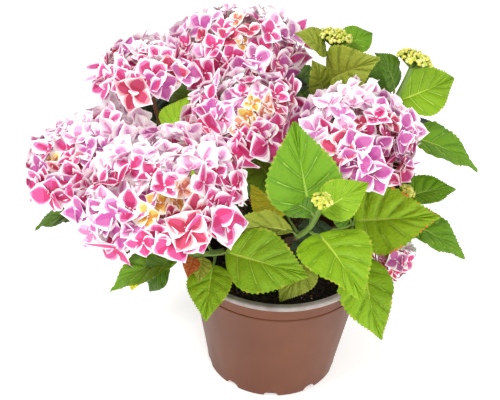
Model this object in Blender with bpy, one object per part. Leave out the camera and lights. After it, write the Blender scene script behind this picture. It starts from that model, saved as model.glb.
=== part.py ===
"""A potted mophead hydrangea: a nursery pot, its soil, and one plant of thirteen shoots.

Metres, +Z up. The origin is the centre of the pot's flat underside, and the front faces -Y.
Each shoot is a bare cane, then a mass of opposite leaves on the leafy part of its stem, then
a mophead of florets on a stalk, or a flat head of small green buds.
"""

import math
import random
from collections import namedtuple

import bmesh
import bpy
from mathutils import Matrix, Vector
from mathutils.bvhtree import BVHTree

GAP = 0.0003  # clearance between solids that touch on the real plant
ELBOW_ROOM = 0.0012  # clearance that a leaf or floret keeps from what belongs to another solid

# The pot: a 5 litre nursery container.
POT_HEIGHT = 0.166
RIM_RADIUS = 0.1125
LIP_DEPTH = 0.006
COLLAR_RADIUS = 0.1080
COLLAR_DEPTH = 0.026
COLLAR_FOOT = POT_HEIGHT - COLLAR_DEPTH
WALL_TOP_RADIUS = 0.1030
FOOT_RADIUS = 0.0810
FOOT_CHAMFER = 0.002
WALL = 0.0022
FLOOR = 0.0030
POT_SEGMENTS = 30
NOTCHES = 10
NOTCH_WIDTH = 0.018
NOTCH_HEIGHT = 0.006
NOTCH_DEPTH = 0.006

# The soil and the woody crown that stands on it.
SOIL_TOP = 0.154
SOIL_SHOULDER = 0.004  # how far the soil's edge lies below its middle
CROWN_RADIUS = 0.017
CROWN_FLARE = 0.027
CROWN_HEIGHT = 0.032
CROWN_SEGMENTS = 10
STUB_LENGTH = 0.032

# The stems, from the crown to the heads.
CANE_RADIUS = 0.0042
SHOOT_RADIUS = 0.0034
STALK_RADIUS = 0.0026
STEM_SIDES = 5
CANE_STEPS = 3
SHOOT_STEPS = 4
STALK_STEPS = 2
STALK_SHARE = 0.94  # where along a shoot the leafy stem ends and the flower stalk begins
LEAVING_REACH = 0.42  # how far a shoot runs straight out of the crown, of its length
ARRIVING_REACH = 0.34  # how far it runs straight into its head, of its length
BLOOM_ENTRY = 0.30  # how far below a bloom's centre its stalk runs straight, of its width
BUDS_ENTRY = 0.002  # how far below a head of buds its stem ends

# The leaves.
LEAF_LENGTH = 0.112
LEAF_HALF_WIDTH = 0.36  # of its length
LEAF_THICKNESS = 0.016  # of its length
LEAF_FOLD = 0.20  # rise of the margin over the midrib, of the half width
LEAF_ARCH = 0.075  # of its length
LEAF_STATIONS = (0.08, 0.30, 0.56, 0.80)
PETIOLE = 0.20  # of the leaf's length
PETIOLE_LIFT = 25  # degrees that a leaf's stalk rises over the leaf
PETIOLE_RADII = (0.0019, 0.0015, 0.0009)
PETIOLE_SINK = 0.05  # how far the stalk runs on into the blade, of the leaf's length

# The crossed pairs of leaves that grow larger and droop more down the stem.
TOP_PAIR = 0.90  # where along the stem the top pair stands
LOWEST_PAIR = 0.04  # how far above the foot of the leafy stem the last pair stands
TOP_RISE = 22
DROOP = 14  # degrees from one pair to the next
OUTWARD_DROOP = 26
TOP_SIZE = 0.86
GROWTH = 0.08  # from one pair to the next

# The blooms.
FLORET_RADIUS = 0.0255
LARGEST_FLORET = 0.33  # a floret's radius, of the bloom's width
NOTCH = 0.62  # radius between two petals, of the floret's
FLORET_THICKNESS = 0.0018
FLORET_STALK = 0.0013
FLORET_CUP = 0.16  # rise of the petal tips, of the floret's radius
FLORET_TILT = 0.28
CORE = 0.70  # the core's size, of the bloom's
FLORET_ROOT = 0.56  # how far out a floret's stalk begins, of the bloom's half width
FLATTENING = 0.62  # height of a bloom, of its width
BLOOM_EDGE = 112  # degrees from the bloom's axis to its lowest florets
GOLDEN_ANGLE = math.pi * (3 - math.sqrt(5))
# Where a floret has no room: how near it comes to its place, and its shrinking.
FLORET_TRIES = ((1.0, 1.0), (0.94, 0.85), (0.85, 0.7), (0.75, 0.55))

# The heads of buds.
BUD_RADIUS = 0.0042
DOME_HEIGHT = 0.22  # of the head's width
BUD_SPREAD = 0.40  # of the head's width
BUD_LIFT = 0.20  # of the head's width
FEW_BEADS = 3
MANY_BEADS = 5
BROAD_HEAD = 0.03

# One shoot: where its head is centred, the head's width and florets (0 for a head of buds),
# how far the head leans outwards, where along the stem its leaves begin, the bearing of its top
# pair of leaves and its number of pairs.
Shoot = namedtuple("Shoot", "name place width florets lean bare bearing pairs")
SHOOTS = (
    Shoot("buds_front", (0.036, -0.138, 0.325), 0.020, 0, 22, 0.40, 15, 3),
    Shoot("front_left", (-0.124, -0.120, 0.308), 0.166, 27, 14, 0.42, 20, 3),
    Shoot("buds_low", (0.138, -0.030, 0.272), 0.018, 0, 30, 0.45, -20, 3),
    Shoot("buds_right", (0.139, 0.050, 0.391), 0.040, 0, 16, 0.50, -30, 3),
    Shoot("buds_back", (0.052, 0.080, 0.400), 0.040, 0, 10, 0.50, 175, 3),
    Shoot("low_right", (0.140, 0.000, 0.156), 0.058, 7, 130, 0.40, 80, 2),
    Shoot("left", (-0.211, -0.020, 0.288), 0.146, 20, 18, 0.45, 60, 3),
    Shoot("back_left", (-0.158, 0.060, 0.358), 0.122, 20, 12, 0.45, 10, 3),
    Shoot("back", (-0.058, 0.102, 0.374), 0.150, 22, 8, 0.50, 80, 3),
    Shoot("middle", (-0.047, -0.008, 0.350), 0.124, 20, 6, 0.50, 110, 3),
    Shoot("right", (0.078, -0.036, 0.348), 0.126, 21, 18, 0.50, 35, 3),
    Shoot("behind_left", (-0.105, 0.165, 0.248), 0.120, 15, 26, 0.45, 45, 3),
    Shoot("behind_right", (0.072, 0.160, 0.254), 0.126, 16, 24, 0.45, 130, 3),
)

# Leaves with a place of their own, the others following the rule of crossed pairs: where each
# stalk leaves the stem (a share of the stem), the leaf's bearing and rise, its length, its
# roll about its midrib (positive turns the upper face clockwise, seen from its tip), and its
# stalk's length, of its own.
Leaf = namedtuple("Leaf", "share bearing rise length roll stalk", defaults=(0, PETIOLE))
OWN_LEAVES = {
    "buds_front": (
        (0.86, 15, 31, 0.057, 45, 0.06),
        (0.86, 135, -5, 0.046, -32, 0.08),
        (0.70, 125, 67, 0.103, -36, 0.08),
        (0.66, -66, -6, 0.100, 8),
        (0.47, 178, -4, 0.078, 60, 0.06),
        (0.50, -118, -60, 0.056, 0, 0.40),
        (0.50, 60, 0, 0.100),
    ),
    "front_left": (
        (0.56, -10, -10, 0.094, 48),
        (0.48, -95, -32, 0.065, 5, 0.25),
        (0.62, 186, -31, 0.092),
        (0.80, 182, -64, 0.050, -40, 0.35),
        (0.50, 121, -5, 0.100),
    ),
    "buds_low": (
        (0.47, 0, 15, 0.090, 60, 0.06),
        (0.50, -72, -44, 0.092, 15, 0.50),
        (0.84, 15, 4, 0.060, 12, 0.30),
        (0.84, 241, 10, 0.070),
        (0.68, -14, -25, 0.082, 4, 0.40),
        (0.70, 70, 5, 0.085),
    ),
    "buds_right": (
        (0.76, 30, 10, 0.070, 62, 0.30),
        (0.80, 112, 30, 0.050, -20),
        (0.62, -3, -24, 0.095, 5, 0.40),
        (0.64, 165, 5, 0.100),
        (0.52, 48, -10, 0.118),
        (0.52, -100, -10, 0.090),
    ),
    "buds_back": (
        (0.92, 205, 34, 0.050, -35),
        (0.92, 40, 8, 0.050, 30, 0.30),
        (0.80, -60, 36, 0.085, -75, 0.30),
        (0.74, 20, 15, 0.050, 40, 0.40),
        (0.78, 178, -26, 0.085),
        (0.60, 120, 0, 0.110),
        (0.55, -56, 0, 0.100),
    ),
    "low_right": (
        (0.60, 130, 15, 0.080),
        (0.62, 60, -10, 0.090),
        (0.80, 100, -10, 0.060),
    ),
    "left": (
        (0.86, 174, -26, 0.092),
        (0.86, 20, 0, 0.070),
        (0.70, 100, -10, 0.105),
        (0.70, -100, -5, 0.060),
        (0.52, 150, -30, 0.095),
        (0.50, 120, -25, 0.110),
    ),
    "back_left": (
        (0.66, -95, 45, 0.085),
        (0.72, 175, -15, 0.095),
        (0.80, 90, -10, 0.095),
        (0.55, 120, -10, 0.115),
        (0.50, -150, -20, 0.105),
    ),
}
# Where a leaf has no room, the turns of bearing and rise that it tries next, and its shrinking.
TURNS = (0, 18, -18, 36, -36)
LIFTS = (0, -16, 16, -32, 32)
SHRINKS = (1.0, 0.8)


def direction(bearing, rise):
    """The unit vector at a compass bearing from +X and a rise above level, in degrees."""
    level = math.cos(math.radians(rise))
    turn = math.radians(bearing)
    return Vector((level * math.cos(turn), level * math.sin(turn), math.sin(math.radians(rise))))


def frame_along(axis, near):
    """A right-handed frame with x along the axis and z as near as it can be to another vector."""
    x = axis.normalized()
    y = near.cross(x).normalized()
    return Matrix((x, y, x.cross(y))).transposed()


def head_frame(axis):
    """The frame of a bloom or a head of buds, with x along its axis."""
    return frame_along(axis, Vector((0, 1, 0.3)))


def round_about(turn):
    """The unit vector at a turn round the x axis, in radians."""
    return Vector((0, math.cos(turn), math.sin(turn)))


def material(name, colour, roughness):
    """A plain finish of one colour."""
    made = bpy.data.materials.new(name)
    made.use_nodes = True
    shader = made.node_tree.nodes["Principled BSDF"]
    shader.inputs["Base Color"].default_value = (*colour, 1)
    shader.inputs["Roughness"].default_value = roughness
    return made


def solid(name, points, faces):
    """A new object from points and outward faces, in the scene's own collection."""
    mesh = bpy.data.meshes.new(name)
    mesh.from_pydata([tuple(point) for point in points], [], faces)
    made = bpy.data.objects.new(name, mesh)
    bpy.context.scene.collection.objects.link(made)
    return made


def drop(piece):
    """Takes a piece out of the scene for good."""
    mesh = piece.data
    bpy.data.objects.remove(piece)
    bpy.data.meshes.remove(mesh)


def turned(name, profile, segments):
    """A solid turned round the z axis from a profile that runs from axis to axis."""
    points = [Vector((0, 0, profile[0][1]))]
    for radius, height in profile[1:-1]:
        for step in range(segments):
            turn = 2 * math.pi * step / segments
            points.append(Vector((radius * math.cos(turn), radius * math.sin(turn), height)))
    points.append(Vector((0, 0, profile[-1][1])))
    last = len(points) - 1
    rings = len(profile) - 2
    faces = []
    for step in range(segments):
        after = (step + 1) % segments
        faces.append((0, 1 + after, 1 + step))
        for ring in range(rings - 1):
            low = 1 + ring * segments
            high = low + segments
            faces.append((low + step, low + after, high + after, high + step))
        low = 1 + (rings - 1) * segments
        faces.append((low + step, low + after, last))
    return solid(name, points, faces)


def tube(name, centres, headings, radii, sides):
    """A tapering limb through some centres, each ring square to the heading there."""
    points = []
    for centre, heading, radius in zip(centres, headings, radii):
        frame = frame_along(heading, Vector((0.31, 0.95, 0.05)))
        for side in range(sides):
            rim = round_about(2 * math.pi * side / sides) * radius
            points.append(centre + frame @ rim)
    faces = [tuple(reversed(range(sides)))]
    for ring in range(len(centres) - 1):
        low = ring * sides
        for side in range(sides):
            after = (side + 1) % sides
            faces.append((low + side, low + after, low + sides + after, low + sides + side))
    top = (len(centres) - 1) * sides
    faces.append(tuple(range(top, top + sides)))
    return solid(name, points, faces)


def ellipsoid(name, centre, axis, half_width, half_height, subdivisions):
    """A faceted ellipsoid round an axis."""
    mesh = bmesh.new()
    bmesh.ops.create_icosphere(mesh, subdivisions=subdivisions, radius=1)
    frame = head_frame(axis)
    for vertex in mesh.verts:
        x, y, z = vertex.co
        vertex.co = centre + frame @ Vector((z * half_height, x * half_width, y * half_width))
    data = bpy.data.meshes.new(name)
    mesh.to_mesh(data)
    mesh.free()
    made = bpy.data.objects.new(name, data)
    bpy.context.scene.collection.objects.link(made)
    return made


def spread(first, last, steps):
    """Even values from the first to the last."""
    return [first + (last - first) * step / steps for step in range(steps + 1)]


class Path:
    """A shoot's centre line: a cubic curve that leaves the crown steeply and bends to its head."""

    def __init__(self, shoot):
        place = Vector(shoot.place)
        outward = Vector((place.x, place.y, 0)).normalized()
        lean = math.radians(shoot.lean)
        self.axis = outward * math.sin(lean) + Vector((0, 0, math.cos(lean)))
        start = outward * 0.35 * CROWN_RADIUS
        start.z = SOIL_TOP + 0.55 * CROWN_HEIGHT
        entry = BLOOM_ENTRY * shoot.width if shoot.florets else BUDS_ENTRY
        end = place - self.axis * entry
        self.length = (end - start).length
        away = max(math.hypot(end.x, end.y), 0.02)
        climb = max(0.35, min(1.6, (end.z - start.z) / away))
        leaving = (outward + Vector((0, 0, climb))).normalized()
        after_start = start + leaving * LEAVING_REACH * self.length
        before_end = end - self.axis * ARRIVING_REACH * self.length
        self.knots = (start, after_start, before_end, end)

    def at(self, share):
        """The point at a share of the way."""
        a, b, c, d = self.knots
        rest = 1 - share
        outer = a * rest**3 + d * share**3
        return outer + b * 3 * rest**2 * share + c * 3 * rest * share**2

    def heading(self, share):
        """The unit vector along the way at a share of it."""
        return (self.at(min(share + 0.01, 1)) - self.at(max(share - 0.01, 0))).normalized()

    def limb(self, name, first, last, radii, gap, onward=()):
        """The stem from one share of the way to another, its start clear of what is before it.

        From its end it runs on along the axis through any points onward.
        """
        shares = spread(first, last, len(radii) - len(onward) - 1)
        centres = [self.at(share) for share in shares]
        headings = [self.heading(share) for share in shares]
        centres[0] = centres[0] + headings[0] * gap
        centres.extend(onward)
        headings.extend(self.axis for _ in onward)
        return tube(name, centres, headings, radii, STEM_SIDES)


def box_of(piece):
    """The lowest and the highest corner of a piece."""
    points = [vertex.co for vertex in piece.data.vertices]
    low = [min(point[i] for point in points) for i in range(3)]
    high = [max(point[i] for point in points) for i in range(3)]
    return low, high


def clear_of(piece, taken, owner):
    """True where a piece touches nothing that belongs to another solid."""
    points = [vertex.co for vertex in piece.data.vertices]
    faces = [tuple(polygon.vertices) for polygon in piece.data.polygons]
    tree = BVHTree.FromPolygons(points, faces)
    low, high = box_of(piece)
    for other_owner, other_low, other_high, other_tree in taken:
        apart = any(high[i] < other_low[i] or low[i] > other_high[i] for i in range(3))
        if other_owner != owner and not apart and tree.overlap(other_tree):
            return False
    return True


def claim(piece, taken, owner):
    """Keeps the space of a piece, swollen a little, for its owner."""
    swollen = [vertex.co + vertex.normal * ELBOW_ROOM for vertex in piece.data.vertices]
    faces = [tuple(polygon.vertices) for polygon in piece.data.polygons]
    low, high = box_of(piece)
    taken.append((owner, low, high, BVHTree.FromPolygons(swollen, faces)))


def with_boolean(body, pieces, operation, solver):
    """Joins or cuts a body with a group of pieces, which are then gone."""
    group = bpy.data.collections.new(body.name + "_pieces")
    for piece in pieces:
        group.objects.link(piece)
    boolean = body.modifiers.new("boolean", "BOOLEAN")
    boolean.operation = operation
    boolean.solver = solver
    boolean.operand_type = "COLLECTION"
    boolean.collection = group
    bpy.context.view_layer.update()
    graph = bpy.context.evaluated_depsgraph_get()
    shaped = bpy.data.meshes.new_from_object(body.evaluated_get(graph))
    body.modifiers.clear()
    old = body.data
    body.data = shaped
    bpy.data.meshes.remove(old)
    shaped.name = body.name
    for piece in pieces:
        drop(piece)
    bpy.data.collections.remove(group)


def enclosed(faces):
    """Six times the volume within some triangles, negative where they face inwards."""
    total = 0
    for face in faces:
        a, b, c = (vertex.co for vertex in face.verts)
        total += a.dot(b.cross(c))
    return total


def keep_largest(mesh):
    """Drops loose scraps and the inner walls of sealed hollows."""
    work = bmesh.new()
    work.from_mesh(mesh)
    bmesh.ops.triangulate(work, faces=work.faces)
    bodies = []
    seen = set()
    for first in work.faces:
        if first in seen:
            continue
        body = [first]
        seen.add(first)
        for face in body:
            for edge in face.edges:
                fresh = [other for other in edge.link_faces if other not in seen]
                seen.update(fresh)
                body.extend(fresh)
        bodies.append(body)
    kept = set(max(bodies, key=enclosed))
    rest = [face for face in work.faces if face not in kept]
    bmesh.ops.delete(work, geom=rest, context="FACES")
    work.to_mesh(mesh)
    work.free()


def fuse(name, pieces, finish, solver):
    """One union of a mass's pieces, in one finish."""
    body = pieces[0]
    body.name = name
    with_boolean(body, pieces[1:], "UNION", solver)
    keep_largest(body.data)
    body.data.materials.clear()
    body.data.materials.append(finish)


def make_pot(finish, taken):
    """The pot: a tapered shell with a stepped collar, a rolled lip and a notched foot."""
    profile = (
        (0, 0),
        (FOOT_RADIUS - FOOT_CHAMFER, 0),
        (FOOT_RADIUS, FOOT_CHAMFER),
        (WALL_TOP_RADIUS, COLLAR_FOOT - 0.002),
        (COLLAR_RADIUS - 0.001, COLLAR_FOOT),
        (COLLAR_RADIUS, POT_HEIGHT - LIP_DEPTH),
        (RIM_RADIUS, POT_HEIGHT - LIP_DEPTH + 0.001),
        (RIM_RADIUS, POT_HEIGHT),
        (COLLAR_RADIUS - WALL, POT_HEIGHT),
        (COLLAR_RADIUS - 0.001 - WALL, COLLAR_FOOT),
        (WALL_TOP_RADIUS - WALL, COLLAR_FOOT - 0.003),
        (FOOT_RADIUS - WALL, FLOOR + NOTCH_HEIGHT),
        (FOOT_RADIUS - WALL - NOTCH_DEPTH, FLOOR + NOTCH_HEIGHT),
        (FOOT_RADIUS - WALL - 2 * NOTCH_DEPTH, FLOOR),
        (0, FLOOR),
    )
    pot = turned("pot", profile, POT_SEGMENTS)
    cutters = []
    for notch in range(NOTCHES):
        bpy.ops.mesh.primitive_cube_add(size=1)
        cutter = bpy.context.object
        cutter.data.transform(Matrix.Diagonal((2 * NOTCH_DEPTH, NOTCH_WIDTH, 2 * NOTCH_HEIGHT, 1)))
        cutter.data.transform(Matrix.Translation((FOOT_RADIUS, 0, 0)))
        turn = 2 * math.pi * (notch + 0.5) / NOTCHES
        cutter.data.transform(Matrix.Rotation(turn, 4, "Z"))
        cutters.append(cutter)
    with_boolean(pot, cutters, "DIFFERENCE", "EXACT")
    pot.data.materials.clear()
    pot.data.materials.append(finish)
    claim(pot, taken, "pot")


def make_soil(finish, taken):
    """The root ball: it fills the pot and domes a little towards the crown."""
    inside = WALL + GAP
    profile = (
        (0, FLOOR + GAP),
        (FOOT_RADIUS - inside - 2 * NOTCH_DEPTH, FLOOR + GAP),
        (FOOT_RADIUS - inside - NOTCH_DEPTH, FLOOR + NOTCH_HEIGHT + GAP),
        (FOOT_RADIUS - inside, FLOOR + NOTCH_HEIGHT + GAP),
        (WALL_TOP_RADIUS - inside, COLLAR_FOOT - 0.003),
        (COLLAR_RADIUS - 0.001 - inside, COLLAR_FOOT),
        (COLLAR_RADIUS - 0.0004 - inside, SOIL_TOP - SOIL_SHOULDER),
        (0.7 * COLLAR_RADIUS, SOIL_TOP),
        (0, SOIL_TOP),
    )
    soil = turned("soil", profile, POT_SEGMENTS)
    soil.data.materials.append(finish)
    claim(soil, taken, "soil")


def make_crown(paths, finish, taken):
    """The woody crown: a short flared stump with the stub of each cane."""
    foot = SOIL_TOP + GAP
    profile = (
        (0, foot),
        (CROWN_FLARE, foot),
        (0.92 * CROWN_FLARE, foot + 0.1 * CROWN_HEIGHT),
        (1.1 * CROWN_RADIUS, foot + 0.4 * CROWN_HEIGHT),
        (CROWN_RADIUS, foot + 0.75 * CROWN_HEIGHT),
        (0.6 * CROWN_RADIUS, foot + CROWN_HEIGHT),
        (0, foot + CROWN_HEIGHT),
    )
    pieces = [turned("stump", profile, CROWN_SEGMENTS)]
    radii = spread(1.25 * CANE_RADIUS, CANE_RADIUS, 2)
    for path in paths.values():
        pieces.append(path.limb("stub", 0, STUB_LENGTH / path.length, radii, 0))
    for piece in pieces:
        claim(piece, taken, "crown")
    fuse("crown", pieces, finish, "EXACT")


def make_cane(shoot, path, finish, taken):
    """The bare lower part of a shoot, from its stub on the crown to its leaves."""
    radii = spread(CANE_RADIUS, SHOOT_RADIUS, CANE_STEPS)
    cane = path.limb("cane_" + shoot.name, STUB_LENGTH / path.length, shoot.bare, radii, GAP)
    cane.data.materials.append(finish)
    claim(cane, taken, cane.name)


def width_at(share):
    """A hydrangea leaf's outline: its half width at a share of its length, the widest being 1."""
    return math.sin(math.pi * share**0.75) ** 0.85


def blade(base, leaf):
    """A leaf blade: a thin lens in section, folded up along its midrib and arched."""
    chord = direction(leaf.bearing, leaf.rise)
    level = frame_along(chord, Vector((0, 0, 1)))
    frame = level @ Matrix.Rotation(math.radians(leaf.roll), 3, "X")
    lift = LEAF_THICKNESS * leaf.length / 2
    points = [base]
    for share in LEAF_STATIONS:
        half = LEAF_HALF_WIDTH * leaf.length * width_at(share)
        arch = 4 * share * (1 - share) * LEAF_ARCH * leaf.length
        for side, up in ((half, LEAF_FOLD * half), (0, lift), (-half, LEAF_FOLD * half), (0, -lift)):
            points.append(base + frame @ Vector((share * leaf.length, side, arch + up)))
    tip = len(points)
    points.append(base + chord * leaf.length)
    faces = []
    for side in range(4):
        after = (side + 1) % 4
        faces.append((0, 1 + after, 1 + side))
        for low in range(1, tip - 4, 4):
            faces.append((low + side, low + after, low + 4 + after, low + 4 + side))
        faces.append((tip, tip - 4 + side, tip - 4 + after))
    return solid("leaf", points, faces)


def leaves_of(shoot, path):
    """A shoot's leaves: its own listed ones, or the crossed pairs."""
    if shoot.name in OWN_LEAVES:
        return [Leaf(*leaf) for leaf in OWN_LEAVES[shoot.name]]
    chance = random.Random(shoot.name)
    outward = math.degrees(math.atan2(path.axis.y, path.axis.x))
    leaves = []
    for pair in range(shoot.pairs):
        lowest = shoot.bare + LOWEST_PAIR
        share = TOP_PAIR - (TOP_PAIR - lowest) * pair / (shoot.pairs - 1)
        for side in range(2):
            bearing = shoot.bearing + 90 * pair + 180 * side + chance.uniform(-14, 14)
            facing = math.cos(math.radians(bearing - outward)) * math.sin(math.radians(shoot.lean))
            rise = TOP_RISE - DROOP * pair - OUTWARD_DROOP * facing + chance.uniform(-8, 8)
            length = LEAF_LENGTH * (TOP_SIZE + GROWTH * pair) * chance.uniform(0.92, 1.08)
            leaves.append(Leaf(share, bearing, rise, length))
    return leaves


def variants(leaf):
    """A leaf as its rule gives it, then turned, lifted and at last smaller."""
    for shrink in SHRINKS:
        for lift in LIFTS:
            for turn in TURNS:
                yield leaf._replace(
                    bearing=leaf.bearing + turn,
                    rise=leaf.rise + lift,
                    length=leaf.length * shrink,
                )


def make_leaf(leaf, path, taken, owner):
    """The first variant of a leaf that touches nothing else, with its stalk, or nothing."""
    for tried in variants(leaf):
        node = path.at(tried.share)
        stalk_length = tried.stalk * tried.length + SHOOT_RADIUS
        base = node + direction(tried.bearing, tried.rise + PETIOLE_LIFT) * stalk_length
        sunk = base + direction(tried.bearing, tried.rise) * PETIOLE_SINK * tried.length
        sunk.z += 4 * PETIOLE_SINK * (1 - PETIOLE_SINK) * LEAF_ARCH * tried.length
        made = blade(base, tried)
        headings = (base - node, sunk - node, sunk - base)
        stalk = tube("petiole", (node, base, sunk), headings, PETIOLE_RADII, 3)
        if clear_of(made, taken, owner) and clear_of(stalk, taken, owner):
            claim(made, taken, owner)
            claim(stalk, taken, owner)
            return [made, stalk]
        drop(made)
        drop(stalk)
    return []


def buds_of(shoot, path):
    """A flat head of green buds: a low dome with a few beads standing out of it."""
    place = Vector(shoot.place)
    frame = head_frame(path.axis)
    dome_height = DOME_HEIGHT * shoot.width
    pieces = [ellipsoid("dome", place, path.axis, shoot.width / 2, dome_height, 1)]
    beads = MANY_BEADS if shoot.width > BROAD_HEAD else FEW_BEADS
    for bead in range(beads):
        out = math.sqrt((bead + 0.5) / beads)
        way = round_about(bead * GOLDEN_ANGLE) * out * BUD_SPREAD * shoot.width
        way.x = BUD_LIFT * shoot.width * math.sqrt(1 - 0.7 * out**2)
        centre = place + frame @ way
        pieces.append(ellipsoid("bead", centre, path.axis, BUD_RADIUS, BUD_RADIUS, 1))
    return pieces


def stem_of(shoot, path):
    """The stem of a shoot's leafy part, with any head of buds."""
    stem_end = STALK_SHARE if shoot.florets else 1
    radii = spread(SHOOT_RADIUS, STALK_RADIUS, SHOOT_STEPS)
    pieces = [path.limb("stem", shoot.bare, stem_end, radii, GAP)]
    if not shoot.florets:
        pieces += buds_of(shoot, path)
    return pieces


def floret(centre, normal, spin, radius, root):
    """Four pointed petals as one thin star, on a stalk that runs down to the root."""
    frame = frame_along(normal, Vector((math.sin(spin), math.cos(spin), 0.2)))
    up = frame.col[0]
    points = [centre + up * FLORET_THICKNESS / 2]
    for corner in range(8):
        tip = corner % 2 == 0
        reach = radius if tip else radius * NOTCH
        rise = radius * FLORET_CUP if tip else 0
        points.append(centre + up * rise + frame @ round_about(math.pi * corner / 4) * reach)
    stalk_frame = frame_along(centre - root, frame.col[1])
    for end in (centre - up * FLORET_THICKNESS, root):
        for side in range(4):
            points.append(end + stalk_frame @ round_about(math.pi * side / 2) * FLORET_STALK)
    faces = []
    for corner in range(8):
        faces.append((0, 1 + corner, 1 + (corner + 1) % 8))
    for petal in range(4):
        tip = 1 + 2 * petal
        before = 1 + (2 * petal - 1) % 8
        ring = 9 + petal
        next_ring = 9 + (petal + 1) % 4
        faces.append((tip, before, ring))
        faces.append((tip + 1, tip, ring))
        faces.append((next_ring, tip + 1, ring))
        faces.append((ring, ring + 4, next_ring + 4, next_ring))
    faces.append((13, 16, 15, 14))
    return solid("floret", points, faces)


def florets_of(shoot, path):
    """The florets of a mophead, on a spiral from its top to its lower edge."""
    chance = random.Random(shoot.name + " florets")
    place = Vector(shoot.place)
    frame = head_frame(path.axis)
    half = shoot.width / 2
    reach = 1 - math.cos(math.radians(BLOOM_EDGE))
    largest = min(FLORET_RADIUS, LARGEST_FLORET * shoot.width)
    for index in range(shoot.florets):
        down = math.acos(1 - reach * (index + 0.5) / shoot.florets)
        way = round_about(index * GOLDEN_ANGLE) * math.sin(down)
        way.x = math.cos(down)
        size = largest * chance.uniform(0.9, 1.08)
        depth = chance.uniform(0.90, 1.03)
        surface = frame @ Vector((way.x * FLATTENING, way.y, way.z)) * half
        tilt = Vector([chance.uniform(-FLORET_TILT, FLORET_TILT) for _ in range(3)])
        normal = Vector((way.x / FLATTENING, way.y, way.z)).normalized() + tilt
        spin = chance.uniform(0, math.pi / 2)
        root = place + surface * FLORET_ROOT * depth
        yield place + surface * depth, frame @ normal, spin, size, root


def core_of(shoot, path):
    """The core of a mophead, on the flower stalk."""
    place = Vector(shoot.place)
    half = CORE * shoot.width / 2
    radii = spread(STALK_RADIUS, STALK_RADIUS, STALK_STEPS)
    return [
        ellipsoid("core", place, path.axis, half, half * FLATTENING, 2),
        path.limb("stalk", STALK_SHARE, 1, radii, GAP, onward=[place]),
    ]


def make_floret(place, taken, owner):
    """The first try of a floret that touches nothing else, or nothing."""
    centre, normal, spin, size, root = place
    for closeness, shrink in FLORET_TRIES:
        made = floret(root.lerp(centre, closeness), normal, spin, size * shrink, root)
        if clear_of(made, taken, owner):
            claim(made, taken, owner)
            return [made]
        drop(made)
    return []


def main():
    for thing in list(bpy.data.objects):
        bpy.data.objects.remove(thing)
    plastic = material("pot_plastic", (0.26, 0.12, 0.08), 0.45)
    compost = material("compost", (0.012, 0.009, 0.007), 0.95)
    bark = material("bark", (0.16, 0.10, 0.05), 0.8)
    leaf_green = material("leaf_green", (0.20, 0.42, 0.04), 0.5)
    petal_pink = material("petal_pink", (0.62, 0.10, 0.32), 0.55)
    taken = []
    make_pot(plastic, taken)
    make_soil(compost, taken)
    paths = {shoot.name: Path(shoot) for shoot in SHOOTS}
    make_crown(paths, bark, taken)
    for shoot in SHOOTS:
        make_cane(shoot, paths[shoot.name], bark, taken)
    masses = {}
    for shoot in SHOOTS:
        if shoot.florets:
            masses["bloom_" + shoot.name] = core_of(shoot, paths[shoot.name])
    for shoot in SHOOTS:
        masses["leaves_" + shoot.name] = stem_of(shoot, paths[shoot.name])
    for owner, pieces in masses.items():
        for piece in pieces:
            claim(piece, taken, owner)
    for shoot in SHOOTS:
        if shoot.florets:
            owner = "bloom_" + shoot.name
            for place in florets_of(shoot, paths[shoot.name]):
                masses[owner] += make_floret(place, taken, owner)
            fuse(owner, masses[owner], petal_pink, "MANIFOLD")
    for shoot in SHOOTS:
        owner = "leaves_" + shoot.name
        for leaf in leaves_of(shoot, paths[shoot.name]):
            masses[owner] += make_leaf(leaf, paths[shoot.name], taken, owner)
        fuse(owner, masses[owner], leaf_green, "MANIFOLD")


main()
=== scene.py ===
"""A potted mophead hydrangea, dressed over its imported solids.

Metres, +Z up, the front facing -Y, the origin at the centre of the pot's flat underside. The
sections follow the plant as it is grown: pot, soil, crown and canes, green stems, leaves, flower
heads, heads of buds, then the studio.
"""

import math
import random
from collections import namedtuple

import bpy
import numpy as np
from mathutils import Matrix, Vector, kdtree, noise


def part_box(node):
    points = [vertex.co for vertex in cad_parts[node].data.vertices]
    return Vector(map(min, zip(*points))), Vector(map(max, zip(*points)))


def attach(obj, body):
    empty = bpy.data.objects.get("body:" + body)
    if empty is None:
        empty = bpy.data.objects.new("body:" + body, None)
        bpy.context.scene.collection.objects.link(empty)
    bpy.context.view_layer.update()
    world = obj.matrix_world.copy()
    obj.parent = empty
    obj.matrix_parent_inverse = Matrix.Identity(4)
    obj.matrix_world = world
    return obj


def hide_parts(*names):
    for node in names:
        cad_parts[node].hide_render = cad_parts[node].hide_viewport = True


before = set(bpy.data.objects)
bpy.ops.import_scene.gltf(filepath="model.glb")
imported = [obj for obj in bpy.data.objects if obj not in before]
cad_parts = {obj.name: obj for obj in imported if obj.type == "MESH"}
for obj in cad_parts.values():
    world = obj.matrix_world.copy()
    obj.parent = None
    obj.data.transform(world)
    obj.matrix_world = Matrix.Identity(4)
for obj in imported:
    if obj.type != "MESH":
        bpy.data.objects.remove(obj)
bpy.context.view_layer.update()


# ------------------------------------------------------------------
# The pot: a five litre nursery container of brown plastic, moulded in one piece with a stepped
# collar, a rolled pale lip and notches round its foot for drainage.

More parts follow.
